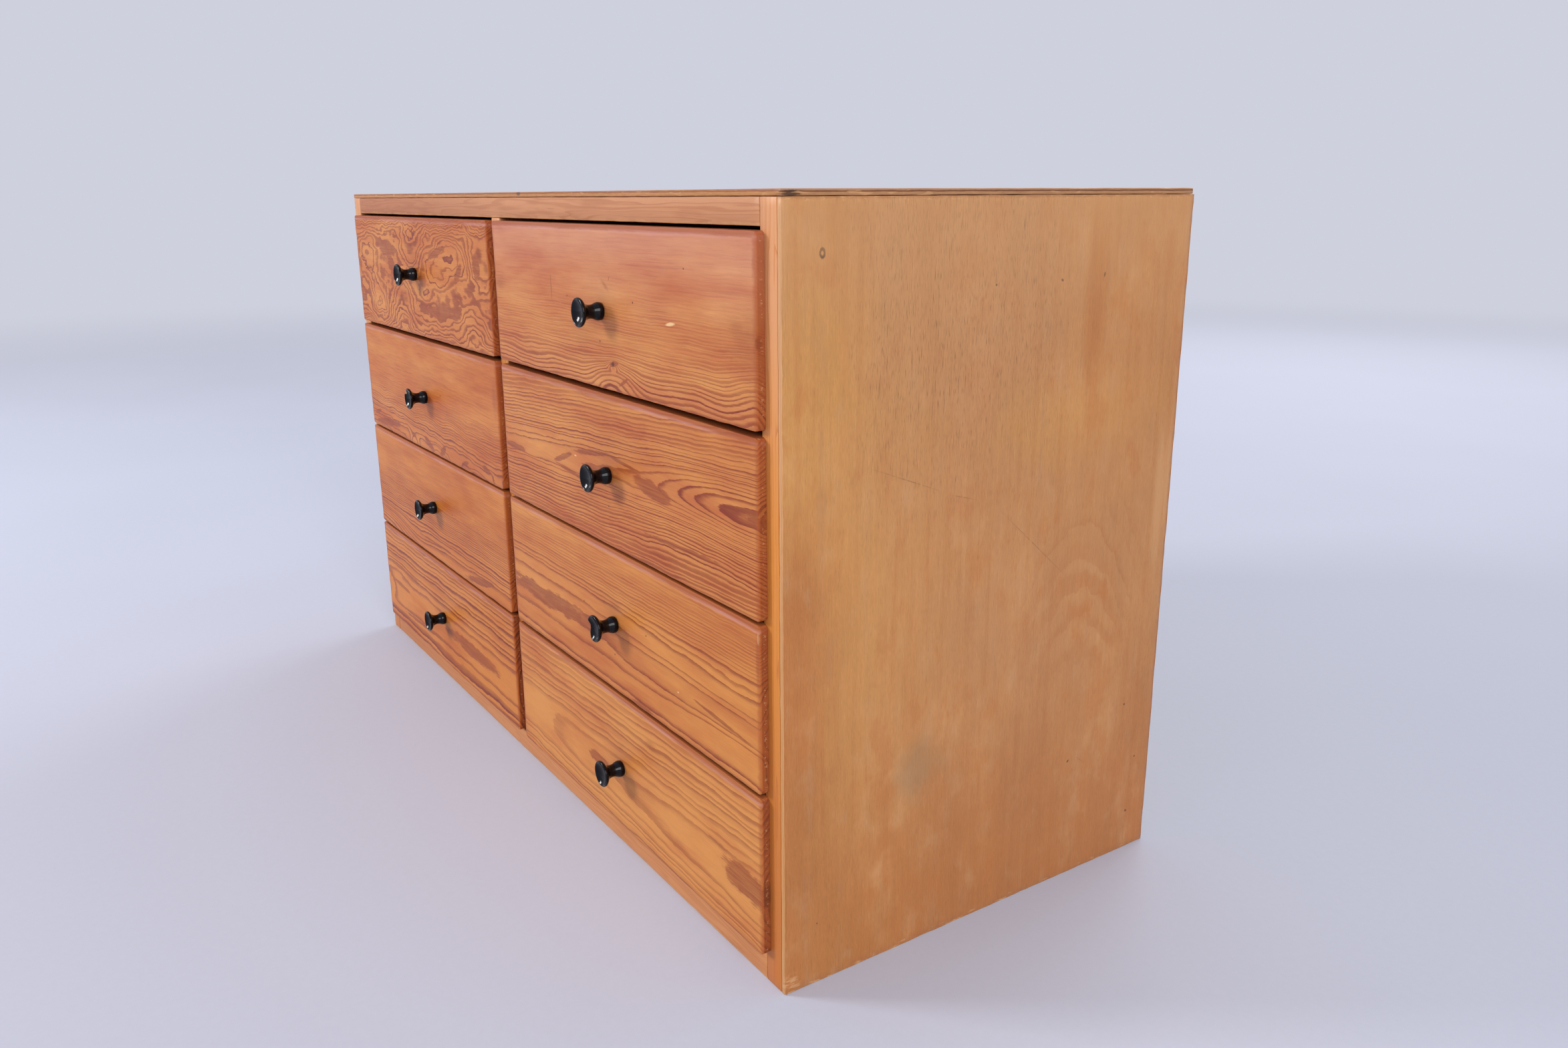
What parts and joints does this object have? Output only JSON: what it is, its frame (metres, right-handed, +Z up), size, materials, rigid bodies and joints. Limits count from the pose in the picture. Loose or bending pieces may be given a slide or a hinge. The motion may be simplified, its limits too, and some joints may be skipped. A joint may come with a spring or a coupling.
{
  "type": "tabletop drawer unit",
  "caption": "Low tabletop chest with two columns of lipped pine drawers with turned knobs, in a plywood-clad softwood carcass; every drawer slides out.",
  "frame": {"origin": "centre of the footprint of the whole unit, knobs included, on the surface it stands on", "axes": "+X along the width (right as seen from the front), +Y towards the back, +Z up; the drawers open towards -Y"},
  "size_m": [0.838, 0.367, 0.5],
  "materials": {
    "front_pine": "orange-brown waxed pine with strong figure",
    "frame_pine": "light orange varnished softwood",
    "rail_pine": "reddish varnished softwood",
    "side_ply": "tan plywood veneer with upright grain, varnished",
    "top_ply": "varnished plywood with darkened edges",
    "inner_ply": "bare thin plywood",
    "box_wood": "bare planed softwood",
    "knob_black": "glossy black lacquer on turned wood",
    "pin_steel": "dull steel"
  },
  "bodies": {
    "carcass": {"top_panel": "top_ply", "side_panel_left": "side_ply", "side_panel_right": "side_ply", "back_panel": "inner_ply", "front_stiles": "frame_pine", "top_rail": "rail_pine", "bottom_rail": "rail_pine", "centre_divider": "frame_pine", "rear_posts": "frame_pine", "rear_rails": "frame_pine", "drawer_runners": "box_wood", "panel_pins": "pin_steel"},
    "drawer_left_1": {"drawer_left_1_front": "front_pine", "drawer_left_1_side_left": "box_wood", "drawer_left_1_side_right": "box_wood", "drawer_left_1_back": "box_wood", "drawer_left_1_bottom": "inner_ply", "drawer_left_1_knob": "knob_black"},
    "drawer_left_2": {"drawer_left_2_front": "front_pine", "drawer_left_2_side_left": "box_wood", "drawer_left_2_side_right": "box_wood", "drawer_left_2_back": "box_wood", "drawer_left_2_bottom": "inner_ply", "drawer_left_2_knob": "knob_black"},
    "drawer_left_3": {"drawer_left_3_front": "front_pine", "drawer_left_3_side_left": "box_wood", "drawer_left_3_side_right": "box_wood", "drawer_left_3_back": "box_wood", "drawer_left_3_bottom": "inner_ply", "drawer_left_3_knob": "knob_black"},
    "drawer_left_4": {"drawer_left_4_front": "front_pine", "drawer_left_4_side_left": "box_wood", "drawer_left_4_side_right": "box_wood", "drawer_left_4_back": "box_wood", "drawer_left_4_bottom": "inner_ply", "drawer_left_4_knob": "knob_black"},
    "drawer_right_1": {"drawer_right_1_front": "front_pine", "drawer_right_1_side_left": "box_wood", "drawer_right_1_side_right": "box_wood", "drawer_right_1_back": "box_wood", "drawer_right_1_bottom": "inner_ply", "drawer_right_1_knob": "knob_black"},
    "drawer_right_2": {"drawer_right_2_front": "front_pine", "drawer_right_2_side_left": "box_wood", "drawer_right_2_side_right": "box_wood", "drawer_right_2_back": "box_wood", "drawer_right_2_bottom": "inner_ply", "drawer_right_2_knob": "knob_black"},
    "drawer_right_3": {"drawer_right_3_front": "front_pine", "drawer_right_3_side_left": "box_wood", "drawer_right_3_side_right": "box_wood", "drawer_right_3_back": "box_wood", "drawer_right_3_bottom": "inner_ply", "drawer_right_3_knob": "knob_black"},
    "drawer_right_4": {"drawer_right_4_front": "front_pine", "drawer_right_4_side_left": "box_wood", "drawer_right_4_side_right": "box_wood", "drawer_right_4_back": "box_wood", "drawer_right_4_bottom": "inner_ply", "drawer_right_4_knob": "knob_black"}
  },
  "joints": [
    {"name": "drawer_left_1_slide", "type": "slide", "parent": "carcass", "child": "drawer_left_1", "axis": [0, -1, 0], "range_m": [0, 0.24]},
    {"name": "drawer_left_2_slide", "type": "slide", "parent": "carcass", "child": "drawer_left_2", "axis": [0, -1, 0], "range_m": [0, 0.24]},
    {"name": "drawer_left_3_slide", "type": "slide", "parent": "carcass", "child": "drawer_left_3", "axis": [0, -1, 0], "range_m": [0, 0.24]},
    {"name": "drawer_left_4_slide", "type": "slide", "parent": "carcass", "child": "drawer_left_4", "axis": [0, -1, 0], "range_m": [0, 0.24]},
    {"name": "drawer_right_1_slide", "type": "slide", "parent": "carcass", "child": "drawer_right_1", "axis": [0, -1, 0], "range_m": [0, 0.24]},
    {"name": "drawer_right_2_slide", "type": "slide", "parent": "carcass", "child": "drawer_right_2", "axis": [0, -1, 0], "range_m": [0, 0.24]},
    {"name": "drawer_right_3_slide", "type": "slide", "parent": "carcass", "child": "drawer_right_3", "axis": [0, -1, 0], "range_m": [0, 0.24]},
    {"name": "drawer_right_4_slide", "type": "slide", "parent": "carcass", "child": "drawer_right_4", "axis": [0, -1, 0], "range_m": [0, 0.24]}
  ]
}
